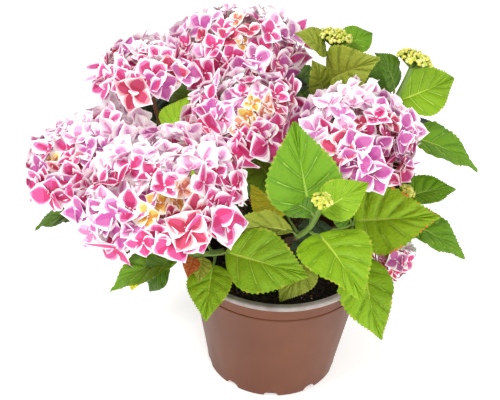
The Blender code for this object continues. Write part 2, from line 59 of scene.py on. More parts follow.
POT_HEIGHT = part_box("pot")[1].z
RIM_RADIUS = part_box("pot")[1].x
LIP_DEPTH = 0.006
COLLAR_RADIUS = 0.1080
COLLAR_FOOT = POT_HEIGHT - 0.026
WALL_TOP_RADIUS = 0.1030
FOOT_RADIUS = 0.0810
FOOT_CHAMFER = 0.002
FOOT_BAND = 0.012  # the upright band round the foot
WALL = 0.0022
FLOOR = 0.011  # the top of the pot's bottom
POT_FACETS = 120
COLLAR_FLARE = 0.001  # how much the collar widens on its way up
BEAD_BELOW = 0.0022  # the bead at the collar's foot, under the groove
GROOVE_WIDTH = 0.0016
GROOVE_DEPTH = 0.0011
EASE = 0.0006  # the rounding of the moulded edges
LIP_ROUNDING = 0.0012
NOTCHES = 10
NOTCH_WIDTH = 0.018
NOTCH_HEIGHT = 0.008
NOTCH_DEPTH = 0.006


def srgb(red, green, blue):
    """A colour told from 0 to 255 as a screen shows it, as the linear values that shaders take."""
    linear = []
    for value in (red, green, blue):
        value /= 255
        linear.append(value / 12.92 if value <= 0.04045 else ((value + 0.055) / 1.055) ** 2.4)
    return (*linear, 1)


class Tap:
    """A value that a material's node gives, on which + and * add Math nodes."""

    def __init__(self, finish, socket):
        self.finish = finish
        self.socket = socket

    def with_maths(self, operation, first, second):
        inputs = {0: first, 1: second}
        return self.finish.node("ShaderNodeMath", {"operation": operation}, inputs)

    def __add__(self, other):
        return self.with_maths("ADD", self, other)

    def __mul__(self, other):
        return self.with_maths("MULTIPLY", self, other)

    __radd__ = __add__
    __rmul__ = __mul__


class Finish:
    """A material, with its shader, to which nodes are added one by one."""

    def __init__(self, name, colour, **sockets):
        self.material = bpy.data.materials.new(name)
        self.material.use_nodes = True
        self.tree = self.material.node_tree
        self.shader = self.tree.nodes["Principled BSDF"]
        self.give("Base Color", colour)
        for socket, value in sockets.items():
            self.give(socket.replace("_", " "), value)

    def give(self, socket, value):
        """Sets a socket of the shader to a value, or links it to a tap."""
        self.feed(self.shader.inputs[socket], value)

    def feed(self, socket, value):
        if isinstance(value, Tap):
            self.tree.links.new(value.socket, socket)
        else:
            socket.default_value = value

    def node(self, kind, settings, inputs, output=0):
        """Adds a node with its settings and the values or taps of its sockets."""
        made = self.tree.nodes.new(kind)
        for name, value in settings.items():
            if name == "stops":
                for element, (place, shade) in zip(made.color_ramp.elements, value):
                    element.position = place
                    element.color = shade
            else:
                setattr(made, name, value)
        for name, value in inputs.items():
            self.feed(made.inputs[name], value)
        return Tap(self, made.outputs[output])

    def place(self):
        """Where a point lies on the piece."""
        return self.node("ShaderNodeTexCoord", {}, {}, "Object")

    def grain(self, scale, detail=3, stretch=(1, 1, 1)):
        """A mottle from 0 to 1, with so many blotches a metre."""
        ends = {0: self.place(), 1: stretch}
        spot = self.node("ShaderNodeVectorMath", {"operation": "MULTIPLY"}, ends)
        inputs = {"Vector": spot, "Scale": scale, "Detail": detail}
        return self.node("ShaderNodeTexNoise", {}, inputs)

    def ramp(self, value, low, high):
        """A value drawn out from 0 at low to 1 at high."""
        stops = ((low, (0, 0, 0, 1)), (high, (1, 1, 1, 1)))
        return self.node("ShaderNodeValToRGB", {"stops": stops}, {0: value})

    def mix(self, share, first, second):
        """One colour passing into another."""
        settings = {"data_type": "RGBA"}
        return self.node("ShaderNodeMix", settings, {0: share, 6: first, 7: second}, 2)

    def relief(self, height, distance, strength=1.0):
        """Raises the surface by a height from 0 to 1, over a distance in metres."""
        inputs = {"Height": height, "Distance": distance, "Strength": strength}
        self.give("Normal", self.node("ShaderNodeBump", {}, inputs))


def drawn_up(name, facets, profile):
    """A round body raised from a disc: each step of the profile is extruded, then scaled."""
    bpy.ops.object.select_all(action="DESELECT")
    radius, height = profile[0]
    bpy.ops.mesh.primitive_circle_add(
        vertices=facets, radius=radius, fill_type="NGON", location=(0, 0, height)
    )
    body = bpy.context.object
    body.name = name
    bpy.ops.object.transform_apply()
    bpy.ops.object.mode_set(mode="EDIT")
    bpy.ops.mesh.select_all(action="SELECT")
    for new_radius, new_height in profile[1:]:
        climb = {"value": (0, 0, new_height - height)}
        bpy.ops.mesh.extrude_region_move(TRANSFORM_OT_translate=climb)
        scale = new_radius / radius
        centre = (0, 0, new_height)
        bpy.ops.transform.resize(value=(scale, scale, 1), center_override=centre)
        radius, height = new_radius, new_height
    bpy.ops.mesh.select_all(action="SELECT")
    bpy.ops.mesh.normals_make_consistent(inside=False)
    bpy.ops.object.mode_set(mode="OBJECT")
    return body


def apply_modifiers(piece):
    """Applies a piece's modifiers in their order."""
    bpy.ops.object.select_all(action="DESELECT")
    bpy.context.view_layer.objects.active = piece
    piece.select_set(True)
    for modifier in list(piece.modifiers):
        bpy.ops.object.modifier_apply(modifier=modifier.name)


bead_radius = COLLAR_RADIUS - COLLAR_FLARE
groove_foot = COLLAR_FOOT + BEAD_BELOW
pot = drawn_up(
    "pot_shell",
    POT_FACETS,
    (
        (FOOT_RADIUS - FOOT_CHAMFER, 0),
        (FOOT_RADIUS, FOOT_CHAMFER),
        (FOOT_RADIUS + 0.001, FOOT_BAND),
        (WALL_TOP_RADIUS, COLLAR_FOOT - 0.002),
        (bead_radius, COLLAR_FOOT),
        (bead_radius, groove_foot),
        (bead_radius - GROOVE_DEPTH, groove_foot + EASE),
        (bead_radius - GROOVE_DEPTH, groove_foot + GROOVE_WIDTH),
        (COLLAR_RADIUS - 0.0008, groove_foot + GROOVE_WIDTH + EASE),
        (COLLAR_RADIUS, POT_HEIGHT - LIP_DEPTH),
        (RIM_RADIUS - 0.0008, POT_HEIGHT - LIP_DEPTH),
        (RIM_RADIUS, POT_HEIGHT - LIP_DEPTH + 0.001),
        (RIM_RADIUS, POT_HEIGHT - LIP_ROUNDING),
        (RIM_RADIUS - LIP_ROUNDING, POT_HEIGHT),
        (COLLAR_RADIUS - WALL, POT_HEIGHT),
        (bead_radius - WALL, COLLAR_FOOT),
        (WALL_TOP_RADIUS - WALL, COLLAR_FOOT - 0.003),
        (FOOT_RADIUS - WALL - NOTCH_DEPTH, FLOOR),
    ),
)
bpy.ops.object.select_all(action="DESELECT")
bpy.ops.mesh.primitive_cylinder_add(
    vertices=28,
    radius=NOTCH_WIDTH / 2,
    depth=2 * NOTCH_DEPTH,
    location=(FOOT_RADIUS, 0, 0),
    rotation=(0, math.pi / 2, 0),
    scale=(2 * NOTCH_HEIGHT / NOTCH_WIDTH, 1, 1),
)
first_notch = bpy.context.object
bpy.ops.object.transform_apply()
for notch in range(NOTCHES):
    cutter = first_notch.copy()
    cutter.data = first_notch.data.copy()
    cutter.data.transform(Matrix.Rotation(2 * math.pi * (notch + 0.5) / NOTCHES, 4, "Z"))
    bpy.context.collection.objects.link(cutter)
    cutter.select_set(True)
first_notch.select_set(False)
bpy.data.objects.remove(first_notch)
bpy.context.view_layer.objects.active = cutter
bpy.ops.object.join()
notch_cut = pot.modifiers.new("notches", "BOOLEAN")
notch_cut.operation = "DIFFERENCE"
notch_cut.solver = "EXACT"
notch_cut.object = cutter
edge_round = pot.modifiers.new("rounded edges", "BEVEL")
edge_round.limit_method = "ANGLE"
edge_round.angle_limit = math.radians(32)
edge_round.width = EASE
edge_round.segments = 2
apply_modifiers(pot)
bpy.data.objects.remove(cutter)
bpy.ops.object.shade_smooth_by_angle(angle=math.radians(34))

plastic = Finish("brown plastic", srgb(112, 75, 60), Roughness=0.42, Specular_IOR_Level=0.25)
cloudy = plastic.grain(12, 3)
streaks = plastic.grain(60, 5, (1, 1, 0.12))
brown = plastic.mix(plastic.ramp(cloudy, 0.3, 0.75), srgb(98, 55, 36), srgb(113, 66, 43))
# Paler streaks that run up and down the pot, mixed into its brown.
pale_streaks = plastic.ramp(streaks, 0.55, 0.85) * 0.2
plastic.give("Base Color", plastic.mix(pale_streaks, brown, srgb(132, 88, 67)))
plastic.give("Roughness", 0.36 + streaks * 0.22)
plastic.relief(plastic.grain(900, 2), 0.0002, 0.3)
lip_plastic = Finish("pale lip", srgb(160, 150, 147), Roughness=0.4)
pale = lip_plastic.ramp(lip_plastic.grain(70, 3), 0.35, 0.7)
lip_plastic.give("Base Color", lip_plastic.mix(pale, srgb(136, 124, 119), srgb(166, 157, 153)))
lip_plastic.relief(lip_plastic.grain(800, 2), 0.0002, 0.3)
pot.data.materials.append(plastic.material)
pot.data.materials.append(lip_plastic.material)
for face in pot.data.polygons:
    high = face.center.z > POT_HEIGHT - LIP_DEPTH - 0.0003
    outside = math.hypot(face.center.x, face.center.y) > COLLAR_RADIUS - WALL - 0.0002
    face.material_index = 1 if high and outside else 0
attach(pot, "root")
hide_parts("pot")


# ------------------------------------------------------------------
# The soil: the root ball fills the pot. Its top is damp peat compost, pressed down at the wall
# and heaped towards the crown, with crumbs of bark and a few of perlite lying on it.

SOIL_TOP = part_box("soil")[1].z
SOIL_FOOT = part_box("soil")[0].z
SOIL_SHOULDER = 0.004
SHOULDER_DIP = 0.002  # how much lower the soil is pressed where it meets the wall
SOIL_RINGS = 34
SOIL_GAP = 0.0004  # between the root ball and the wall
SOIL_EDGE = COLLAR_RADIUS - WALL - 0.0006
# The size and the height of the lumps in its surface, from clods to grains.
LUMPS = ((0.022, 0.006), (0.006, 0.0032), (0.0025, 0.0018))
CRUMBS = 900


class Heap:
    """Many small shapes gathered into one mesh, each with its own colours."""

    def __init__(self):
        self.points = []
        self.faces = []
        self.slots = []
        self.finishes = []
        self.count = 0

    def slot(self, finish):
        if finish not in self.finishes:
            self.finishes.append(finish)
        return self.finishes.index(finish)

    def add(self, points, faces, finishes):
        """Adds a shape: its points, its faces, and a finish for all faces or one for each."""
        self.points.append(np.asarray(points, float))
        self.faces.extend(tuple(corner + self.count for corner in face) for face in faces)
        self.count += len(points)
        if isinstance(finishes, Finish):
            self.slots.extend([self.slot(finishes)] * len(faces))
        else:
            self.slots.extend(self.slot(finish) for finish in finishes)

    def make(self, name):
        """The finished piece, smooth all over."""
        mesh = bpy.data.meshes.new(name)
        mesh.from_pydata(np.concatenate(self.points).tolist(), [], self.faces)
        for finish in self.finishes:
            mesh.materials.append(finish.material)
        mesh.polygons.foreach_set("material_index", self.slots)
        mesh.polygons.foreach_set("use_smooth", [True] * len(mesh.polygons))
        mesh.update()
        piece = bpy.data.objects.new(name, mesh)
        bpy.context.scene.collection.objects.link(piece)
        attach(piece, "root")
        return piece


def add_lumps(piece, sizes, **settings):
    """Heaves a piece's surface by clouds of each size and height, with displace modifiers."""
    for size, height in sizes:
        clouds = bpy.data.textures.new("lumps", "CLOUDS")
        clouds.noise_scale = size
        heave = piece.modifiers.new("heave", "DISPLACE")
        heave.texture = clouds
        heave.strength = height
        for setting, value in settings.items():
            setattr(heave, setting, value)


def cobble():
    """A crumb: the points and faces of a small faceted ball of radius 1."""
    bpy.ops.object.select_all(action="DESELECT")
    bpy.ops.mesh.primitive_ico_sphere_add(subdivisions=1, radius=1)
    ball = bpy.context.object
    points = np.array([vertex.co for vertex in ball.data.vertices])
    faces = [tuple(face.vertices) for face in ball.data.polygons]
    bpy.data.objects.remove(ball)
    return points, faces


soil_profile = [
    (FOOT_RADIUS - WALL - NOTCH_DEPTH - 0.001, SOIL_FOOT + 0.010),
    (WALL_TOP_RADIUS - WALL - SOIL_GAP, COLLAR_FOOT - 0.003),
    (bead_radius - WALL - SOIL_GAP, COLLAR_FOOT),
    (SOIL_EDGE, SOIL_TOP - SOIL_SHOULDER - SHOULDER_DIP),
]
for ring in range(1, SOIL_RINGS):
    inward = ring / SOIL_RINGS
    heaped = min(1, inward * 3)
    rise = SOIL_SHOULDER * heaped - SHOULDER_DIP * (1 - heaped)
    soil_profile.append((SOIL_EDGE * (1 - inward), SOIL_TOP - SOIL_SHOULDER + rise))
soil = drawn_up("compost", 150, soil_profile)
surface_foot = SOIL_TOP - SOIL_SHOULDER - SHOULDER_DIP - 0.0005
surface = soil.vertex_groups.new(name="surface")
surface.add([spot.index for spot in soil.data.vertices if spot.co.z > surface_foot], 1, "REPLACE")
add_lumps(soil, LUMPS, direction="Z", vertex_group="surface")
apply_modifiers(soil)
peat = Finish("damp peat", srgb(24, 20, 18), Roughness=0.95, Specular_IOR_Level=0.2)
mottle = peat.grain(240, 5)
peat.give("Base Color", peat.mix(peat.ramp(mottle, 0.35, 0.72), srgb(14, 12, 11), srgb(62, 50, 42)))
peat.relief(peat.grain(700, 4), 0.0015, 0.8)
soil.data.materials.append(peat.material)
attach(soil, "root")
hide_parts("soil")

chance = random.Random("crumbs")
# Each kind of crumb: its finish, the draw up to which it is taken, and its largest size.
crumb_kinds = (
    (Finish("dark bark", srgb(38, 28, 22), Roughness=0.9), 0.62, 0.0026),
    (Finish("brown bark", srgb(78, 54, 38), Roughness=0.9), 0.86, 0.0030),
    (Finish("orange bark", srgb(150, 92, 52), Roughness=0.85), 0.93, 0.0024),
    (Finish("perlite", srgb(226, 220, 208), Roughness=0.8), 1.0, 0.0016),
)
crumbs = Heap()
ball_points, ball_faces = cobble()
for _ in range(CRUMBS):
    reach = math.sqrt(chance.random()) * (SOIL_EDGE - 0.003)
    turn = chance.uniform(0, 2 * math.pi)
    spot = Vector((reach * math.cos(turn), reach * math.sin(turn), 0))
    _, ground, _, _ = soil.ray_cast(spot + Vector((0, 0, POT_HEIGHT)), Vector((0, 0, -1)))
    draw = chance.random()
    kind, _, size = next(kind for kind in crumb_kinds if draw < kind[1])
    size *= chance.uniform(0.35, 1.0)
    spin = chance.uniform(0, 6)
    turned = Matrix.Rotation(spin, 3, Vector([chance.gauss(0, 1) for _ in range(3)]))
    sides = (size, size * chance.uniform(0.5, 0.9), size * chance.uniform(0.3, 0.7))
    shape = turned @ Matrix.Diagonal(sides)
    ragged = ball_points * [[chance.uniform(0.75, 1.15)] for _ in ball_points]
    crumbs.add(ragged @ np.array(shape).T + np.array(ground), ball_faces, kind)
crumbs_piece = crumbs.make("bark_crumbs")


# ------------------------------------------------------------------
# The wood: a knotty crown that flares where it meets the soil, and one bare cane for each of the
# thirteen shoots. The bark is pale brown and flaking, ridged along the cane, with a swollen ring
# where each old pair of leaves stood.

CROWN_RADIUS = 0.017
CROWN_FLARE = 0.027
CROWN_HEIGHT = 0.032
STUB_LENGTH = 0.032
CANE_RADIUS = 0.0042
SHOOT_RADIUS = 0.0034
LEAVING_REACH = 0.42  # of a shoot's length: how far it keeps the heading it leaves with
ARRIVING_REACH = 0.34  # and the heading it comes to its head with
BLOOM_ENTRY = 0.30  # of a head's width: how far under its middle the stem ends
BUDS_ENTRY = 0.002
CANE_SIDES = 16
CANE_RING = 0.0022
OLD_NODES = 0.030  # from one old pair of leaves to the next
KNUCKLE = 0.0009  # how far the ring at an old pair stands out
KNUCKLE_BREADTH = 0.09
RIDGE_HEIGHT = 0.00045
FLAKE_HEIGHT = 0.00025
STUB_RINGS = 6
CROWN_GRAIN = 0.0013
# The size and the height of the crown's knots.
KNOTS = ((0.012, 0.0035), (0.004, 0.0012))

# One shoot: where its head is centred, the head's width and how full it is (0 for a head of
# buds), how far the head leans outwards, where along the stem its leaves begin, the bearing of
# its top pair of leaves and its number of pairs.
Shoot = namedtuple("Shoot", "name place width florets lean bare bearing pairs")
SHOOTS = (
    Shoot("buds_front", (0.036, -0.138, 0.325), 0.020, 0, 22, 0.40, 15, 3),
    Shoot("front_left", (-0.124, -0.120, 0.308), 0.166, 27, 14, 0.42, 20, 3),
    Shoot("buds_low", (0.138, -0.030, 0.272), 0.018, 0, 30, 0.45, -20, 3),
    Shoot("buds_right", (0.139, 0.050, 0.391), 0.040, 0, 16, 0.50, -30, 3),
    Shoot("buds_back", (0.052, 0.080, 0.400), 0.040, 0, 10, 0.50, 175, 3),
    Shoot("low_right", (0.140, 0.000, 0.156), 0.058, 7, 130, 0.40, 80, 2),
    Shoot("left", (-0.211, -0.020, 0.288), 0.146, 20, 18, 0.45, 60, 3),
    Shoot("back_left", (-0.158, 0.060, 0.358), 0.122, 20, 12, 0.45, 10, 3),
    Shoot("back", (-0.058, 0.102, 0.374), 0.150, 22, 8, 0.50, 80, 3),
    Shoot("middle", (-0.047, -0.008, 0.350), 0.124, 20, 6, 0.50, 110, 3),
    Shoot("right", (0.078, -0.036, 0.348), 0.126, 21, 18, 0.50, 35, 3),
    Shoot("behind_left", (-0.105, 0.165, 0.248), 0.120, 15, 26, 0.45, 45, 3),
    Shoot("behind_right", (0.072, 0.160, 0.254), 0.126, 16, 24, 0.45, 130, 3),
)


def direction(bearing, rise):
    """The unit vector at a compass bearing from +X and a rise above level, in degrees."""
    level = math.cos(math.radians(rise))
    turn = math.radians(bearing)
    return Vector((level * math.cos(turn), level * math.sin(turn), math.sin(math.radians(rise))))


def frame_along(axis, near):
    """A right-handed frame with x along the axis and z as near as it can be to another vector."""
    x = axis.normalized()
    y = near.cross(x).normalized()
    return Matrix((x, y, x.cross(y))).transposed()


class Way:
    """A shoot's centre line: a cubic curve that leaves the crown steeply and bends to its head."""

    def __init__(self, shoot):
        place = Vector(shoot.place)
        outward = Vector((place.x, place.y, 0)).normalized()
        lean = math.radians(shoot.lean)
        self.axis = outward * math.sin(lean) + Vector((0, 0, math.cos(lean)))
        start = outward * 0.35 * CROWN_RADIUS
        start.z = SOIL_TOP + 0.55 * CROWN_HEIGHT
        entry = BLOOM_ENTRY * shoot.width if shoot.florets else BUDS_ENTRY
        end = place - self.axis * entry
        self.length = (end - start).length
        away = max(math.hypot(end.x, end.y), 0.02)
        climb = max(0.35, min(1.6, (end.z - start.z) / away))
        leaving = (outward + Vector((0, 0, climb))).normalized()
        after_start = start + leaving * LEAVING_REACH * self.length
        before_end = end - self.axis * ARRIVING_REACH * self.length
        self.knots = (start, after_start, before_end, end)

    def at(self, share):
        """The point at a share of the way."""
        a, b, c, d = self.knots
        rest = 1 - share
        outer = a * rest**3 + d * share**3
        return outer + b * 3 * rest**2 * share + c * 3 * rest * share**2


def limb(centres, radii, sides, relief=None, closed=True):
    """The points and faces of a limb through some centres, its rings square to its way."""
    points = []
    centres = [Vector(centre) for centre in centres]
    for index, (centre, radius) in enumerate(zip(centres, radii)):
        heading = centres[min(index + 1, len(centres) - 1)] - centres[max(index - 1, 0)]
        ring = frame_along(heading, Vector((0.31, 0.95, 0.05)))
        for side in range(sides):
            turn = 2 * math.pi * side / sides
            out = ring @ Vector((0, math.cos(turn), math.sin(turn)))
            swell = relief(centre, out, turn) if relief else 0
            points.append(centre + out * (radius + swell))
    faces = [tuple(reversed(range(sides)))] if closed else []
    for index in range(len(centres) - 1):
        low = index * sides
        for side in range(sides):
            after = (side + 1) % sides
            faces.append((low + side, low + after, low + sides + after, low + sides + side))
    if closed:
        top = (len(centres) - 1) * sides
        faces.append(tuple(range(top, top + sides)))
    return points, faces


def flaking(centre, out, turn):
    """Bark in relief: long ridges round the cane, broken up along it."""
    along = centre * 130
    round_it = Vector((math.cos(turn) * 2.4, math.sin(turn) * 2.4, along.z * 0.35))
    ridge = noise.noise(round_it + along * 0.1)
    flake = noise.noise(centre * 420 + out * 2)
    return RIDGE_HEIGHT * ridge + FLAKE_HEIGHT * flake


ways = {shoot.name: Way(shoot) for shoot in SHOOTS}
bark = Finish("cane bark", srgb(98, 76, 56), Roughness=0.85, Specular_IOR_Level=0.25)
flakes = bark.grain(420, 4, (1, 1, 0.25))
patches = bark.grain(90, 3)
tan = bark.mix(bark.ramp(flakes, 0.38, 0.62), srgb(70, 52, 38), srgb(128, 102, 76))
bark.give("Base Color", bark.mix(bark.ramp(patches, 0.45, 0.7) * 0.6, tan, srgb(66, 60, 38)))
bark.relief(flakes, 0.0006, 0.7)

canes = Heap()
for shoot in SHOOTS:
    way = ways[shoot.name]
    first = STUB_LENGTH / way.length
    rings = max(6, round((shoot.bare - first) * way.length / CANE_RING))
    centres = []
    radii = []
    for ring in range(rings + 1):
        share = first - 0.02 + (shoot.bare + 0.02 - first) * ring / rings
        centres.append(way.at(share))
        past_node = (share * way.length / OLD_NODES) % 1
        knuckle = KNUCKLE * math.exp(-(((past_node - 0.5) / KNUCKLE_BREADTH) ** 2))
        radii.append(CANE_RADIUS + (SHOOT_RADIUS - CANE_RADIUS) * ring / rings + knuckle)
    canes.add(*limb(centres, radii, CANE_SIDES, flaking), bark)
canes_piece = canes.make("woody_canes")
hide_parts(*("cane_" + shoot.name for shoot in SHOOTS))

crown = drawn_up(
    "knotty_crown",
    40,
    (
        (CROWN_FLARE, SOIL_TOP - 0.002),
        (CROWN_FLARE * 0.94, SOIL_TOP + 0.003),
        (CROWN_FLARE * 0.78, SOIL_TOP + 0.009),
        (CROWN_RADIUS * 1.05, SOIL_TOP + 0.016),
        (CROWN_RADIUS, SOIL_TOP + 0.024),
        (CROWN_RADIUS * 0.6, SOIL_TOP + CROWN_HEIGHT),
    ),
)
stubs = Heap()
for shoot in SHOOTS:
    way = ways[shoot.name]
    last = STUB_LENGTH / way.length
    steps = range(STUB_RINGS + 1)
    centres = [way.at(last * step / STUB_RINGS) for step in steps]
    stubs.add(*limb(centres, [CANE_RADIUS * (1.4 - 0.06 * step) for step in steps], 10), bark)
stub_wood = stubs.make("stubs")
bpy.ops.object.select_all(action="DESELECT")
stub_wood.parent = None  # it rides with the crown
stub_wood.select_set(True)
crown.select_set(True)
bpy.context.view_layer.objects.active = crown
bpy.ops.object.join()
knit = crown.modifiers.new("grown together", "REMESH")
knit.mode = "VOXEL"
knit.voxel_size = CROWN_GRAIN
knit.use_smooth_shade = True
add_lumps(crown, KNOTS)
apply_modifiers(crown)
crown.data.materials.clear()
crown.data.materials.append(bark.material)
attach(crown, "root")
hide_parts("crown")


# ------------------------------------------------------------------
# The green stems: this year's growth, from the top of each cane to its flower head. They are
# smooth and fleshy, taper upwards, and are flushed red under a mophead.

STALK_RADIUS = 0.0026
STEM_SIDES = 10
STEM_RINGS = 26
HEAD_NECK = 0.6  # how far up into a mophead its stalk runs, of the way to the centre
FLUSHED_FROM = 0.72  # of the stem's length

stem_green = Finish("green stem", srgb(112, 142, 58), Roughness=0.5)
stem_red = Finish("flushed stem", srgb(134, 84, 62), Roughness=0.5)
stems = Heap()
for shoot in SHOOTS:
    way = ways[shoot.name]
    shares = np.linspace(shoot.bare - 0.01, 1, STEM_RINGS)
    centres = [way.at(share) for share in shares]
    radii = list(np.linspace(SHOOT_RADIUS, STALK_RADIUS, STEM_RINGS))
    if shoot.florets:
        centres.append(centres[-1].lerp(Vector(shoot.place), HEAD_NECK))
        radii.append(STALK_RADIUS * 0.8)
    points, faces = limb(centres, radii, STEM_SIDES)
    flushed = FLUSHED_FROM if shoot.florets else 1
    kinds = [stem_red if face[0] > len(points) * flushed else stem_green for face in faces]
    stems.add(points, faces, kinds)


# ------------------------------------------------------------------
# The leaves: opposite, broad and pointed, with a saw-toothed margin, a pale midrib and seven
# pairs of veins sunk between puffed-up stretches of blade. Lime green where the light falls on
# them, dark inside the plant, a few turning yellow or rust. Each stands on its stalk at a node.

LEAF_LENGTH = 0.112
LEAF_HALF_WIDTH = 0.385  # of its length
LEAF_FOLD = 0.20  # rise of the margin over the midrib, of the half width
LEAF_ARCH = 0.075  # of its length
NOD = 0.18  # how the tip bends down, from NOD_FROM of its length on
NOD_FROM = 0.72
PETIOLE = 0.20  # of the leaf's length
PETIOLE_LIFT = 25
PETIOLE_RADII = (0.0019, 0.0017, 0.0015, 0.0012, 0.0007)
PETIOLE_SAG = 0.04  # of the leaf's length
RUN_IN = 0.10  # how far the stalk runs on under the blade, of its length, and how far up
RUN_IN_LIFT = 0.024
# The rule of crossed pairs: where the top pair and the lowest stand, how they rise, droop and
# grow, and how much they vary.
TOP_PAIR = 0.90
LOWEST_PAIR = 0.04
TOP_RISE = 22
DROOP = 14
OUTWARD_DROOP = 26
TOP_SIZE = 0.86
GROWTH = 0.08
BEARINGS_VARY = (-14, 14)
RISES_VARY = (-8, 8)
LENGTHS_VARY = (0.92, 1.08)
# What a leaf with no room tries in turn.
TURNS = (0, 18, -18, 36, -36)
LIFTS = (0, -16, 16, -32, 32)
SHRINKS = (1.0, 0.8)
SAME_CORNER = 0.0003
VEIN_PAIRS = 7
VEIN_SWEEP = 0.30  # how far a vein runs forward on its way to the margin
# The half blade across, from midrib to margin.
LANES = (0.034, 0.13, 0.25, 0.37, 0.49, 0.61, 0.73, 0.84, 0.94, 1.0)
# One stretch of blade along the leaf: where its rows lie between two veins, and whether the
# margin stands out there as a tooth (1) or is cut back (-1). The vein is the first, thin row.
STRETCH = (
    (0, -1), (0.05, -1), (0.16, 1), (0.28, -1), (0.40, 1), (0.52, -1), (0.64, 1), (0.76, -1), (0.88, 1),
)
TOOTH = 0.008  # of the leaf's length
TOOTHED = (0.04, 0.98)  # the stretch of its length with teeth
MIDRIB = 0.006  # half its breadth, of the leaf's length, and how deep it lies
MIDRIB_DEPTH = 0.004
CRINKLE = 0.0055  # how unevenly the blade is puffed up, of its length
POINTED = 0.42  # how much the tip is drawn in
QUILTING = 0.028  # how high the blade is puffed up between its veins
RIPPLE = 0.012
RIPPLES = 2.6
VEIN_REACH = 0.8  # how far a vein shows on its way to the margin
RIM_SHOWS = 0.35  # the share of the margin that has the rim's colour

# Leaves with a place of their own, in place of the crossed pairs: the leaf's tint, the share of
# the stem where its stalk leaves it, its bearing and rise, its length, its roll about its midrib,
# and its stalk's length, of its own.
Leaf = namedtuple("Leaf", "tint share bearing rise length roll stalk", defaults=(0, PETIOLE))
OWN_LEAVES = {
    "buds_front": (
        ("lime", 0.86, 15, 31, 0.057, 45, 0.06),
        ("green", 0.86, 135, -5, 0.046, -32, 0.08),
        ("fresh", 0.70, 125, 67, 0.103, -36, 0.08),
        ("lime", 0.66, -66, -6, 0.100, 8),
        ("olive", 0.47, 178, -4, 0.078, 60, 0.06),
    ),
    "front_left": (
        ("lime", 0.56, -10, -10, 0.094, 48),
        ("lime", 0.48, -95, -32, 0.065, 5, 0.25),
        ("fresh", 0.62, 186, -31, 0.092),
        ("deep", 0.80, 182, -64, 0.050, -40, 0.35),
        ("dark", 0.50, 121, -5, 0.100),
    ),
    "buds_low": (
        ("lime", 0.50, -72, -44, 0.092, 50, 0.50),
        ("fresh", 0.84, 15, 4, 0.060, 12, 0.30),
        ("fresh", 0.68, -14, -25, 0.082, 4, 0.40),
        ("dark", 0.70, 70, 5, 0.085),
    ),
    "buds_right": (
        ("deep", 0.80, 112, 30, 0.050, -20),
        ("fresh", 0.62, -3, -24, 0.095, 5, 0.40),
        ("dark", 0.64, 165, 5, 0.100),
        ("dark", 0.52, 48, -10, 0.118),
    ),
    "buds_back": (
        ("olive", 0.92, 205, 34, 0.050, -35),
        ("fresh", 0.92, 40, 8, 0.050, 30, 0.30),
        ("fresh", 0.74, 20, 15, 0.050, 40, 0.40),
        ("dark", 0.78, 178, -26, 0.085),
        ("green", 0.60, 120, 0, 0.110),
        ("dark", 0.55, -56, 0, 0.100),
    ),
    "low_right": (
        ("dark", 0.60, 130, 15, 0.080),
        ("green", 0.62, 60, -10, 0.090),
        ("dark", 0.80, 100, -10, 0.060),
    ),
    "left": (
        ("deep", 0.86, 174, -26, 0.092),
        ("dark", 0.86, 20, 0, 0.070),
        ("dark", 0.70, 100, -10, 0.105),
        ("dark", 0.70, -100, -5, 0.060),
        ("dark", 0.52, 150, -30, 0.095),
        ("dark", 0.50, 120, -25, 0.110),
    ),
    "back_left": (
        ("sunlit", 0.66, -95, 45, 0.085),
        ("dark", 0.72, 175, -15, 0.095),
        ("dark", 0.80, 90, -10, 0.095),
        ("dark", 0.55, 120, -10, 0.115),
        ("dark", 0.50, -150, -20, 0.105),
    ),
}
# Leaves of the rule that are shed, by their number in the shoot's order, and leaves of the
# scene's own, which the solids have no room for.
SHED = {"right": (3,), "middle": (4,), "back": (1,)}
SMALL_LEAVES = {
    "left": (("yellow", 0.63, -112, -64, 0.041, -28, 0.90),),
    "buds_back": (
        ("olive", 0.78, -44, 38, 0.084, 80, 0.10),
        ("olive", 0.72, -150, 66, 0.048, -90, 0.10),
    ),
    "buds_right": (
        ("deep", 0.82, -156, 56, 0.054, -50, 0.30),
        ("lime", 0.76, 30, 10, 0.077, 58, 0.20),
        ("dark", 0.52, -64, 10, 0.088, 30, 0.20),
    ),
    "back_left": (
        ("sunlit", 0.79, 4, 62, 0.050, 78, 0.10),
        ("dark", 0.87, 140, -8, 0.050, -57, 0.10),
        ("dark", 0.59, 116, 16, 0.060, -24, 0.40),
        ("dark", 0.63, 116, 24, 0.050, -22, 0.40),
    ),
    "buds_front": (("yellow", 0.46, 136, 12, 0.058, -42, 0.40),),
    "front_left": (
        ("rust", 0.68, -100, -24, 0.026, -13, 0.10),
        ("olive", 0.60, -92, -24, 0.031, -5, 0.10),
    ),
    "buds_low": (
        ("turning", 0.46, -26, 22, 0.104, 62, 0.10),
        ("dark", 0.51, -140, -16, 0.070, -39, 0.40),
        ("green", 0.51, -156, 40, 0.040, -78, 0.10),
        ("olive", 0.42, -132, -40, 0.060, -30, 0.90),
    ),
}
